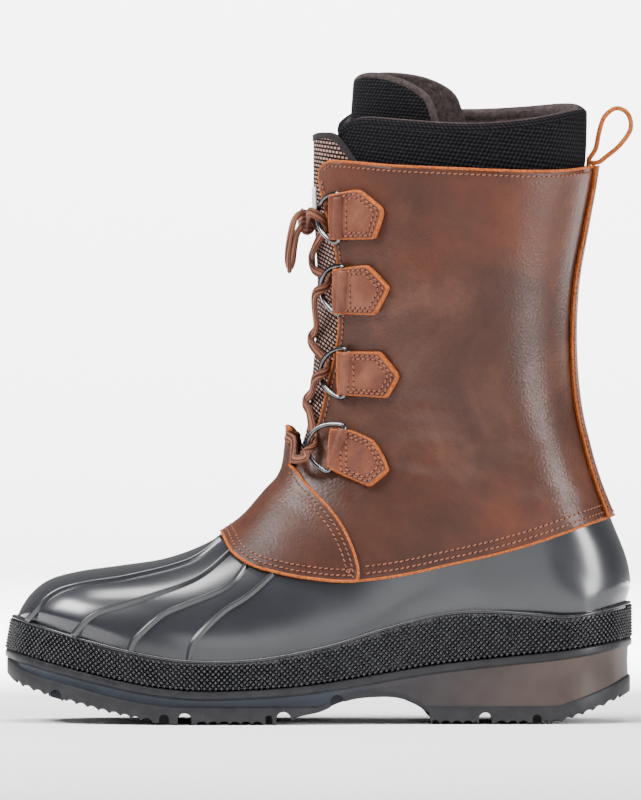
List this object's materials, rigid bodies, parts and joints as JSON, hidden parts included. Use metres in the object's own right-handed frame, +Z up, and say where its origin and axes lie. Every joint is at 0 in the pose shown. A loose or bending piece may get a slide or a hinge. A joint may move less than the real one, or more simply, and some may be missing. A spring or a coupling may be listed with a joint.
{
  "type": "pac boot",
  "caption": "Tall winter boot with a leather shaft on a moulded rubber shell and lugged sole, ring lacing, a woven tongue and a removable padded liner.",
  "frame": {"origin": "on the floor, under the middle of the boot's length and width", "axes": "+Z up, -X towards the toe, -Y towards the outer side of the left foot"},
  "size_m": [0.3181, 0.1162, 0.329],
  "materials": {
    "outsole": "satin moulded rubber, dark grey",
    "shell": "smooth glossy rubber, dark slate grey",
    "upper": "oiled brown leather with soft pale highlights",
    "strap": "lighter brown leather with raw rust-coloured edges",
    "tongue": "heavy woven cloth, pink-beige and black",
    "liner": "black honeycomb mesh over padding",
    "fleece": "taupe fleece",
    "insole": "felt",
    "ring": "gunmetal, polished",
    "lace": "flat woven lace, brown with paler ribs"
  },
  "bodies": {
    "root": {"outsole": "outsole", "shell": "shell", "upper": "upper", "vamp": "upper", "backstay": "strap", "pull_loop": "strap", "tongue": "tongue", "liner": "liner", "liner_tongue": "fleece", "insole": "insole", "tab_lateral_1": "strap", "tab_lateral_2": "strap", "tab_lateral_3": "strap", "tab_lateral_4": "strap", "tab_medial_1": "strap", "tab_medial_2": "strap", "tab_medial_3": "strap", "tab_medial_4": "strap", "ring_lateral_1": "ring", "ring_lateral_2": "ring", "ring_lateral_3": "ring", "ring_lateral_4": "ring", "ring_medial_1": "ring", "ring_medial_2": "ring", "ring_medial_3": "ring", "ring_medial_4": "ring", "lace_crossings": "lace", "lace_knot": "lace", "lace_loop_lateral": "lace", "lace_loop_medial": "lace"}
  },
  "joints": []
}
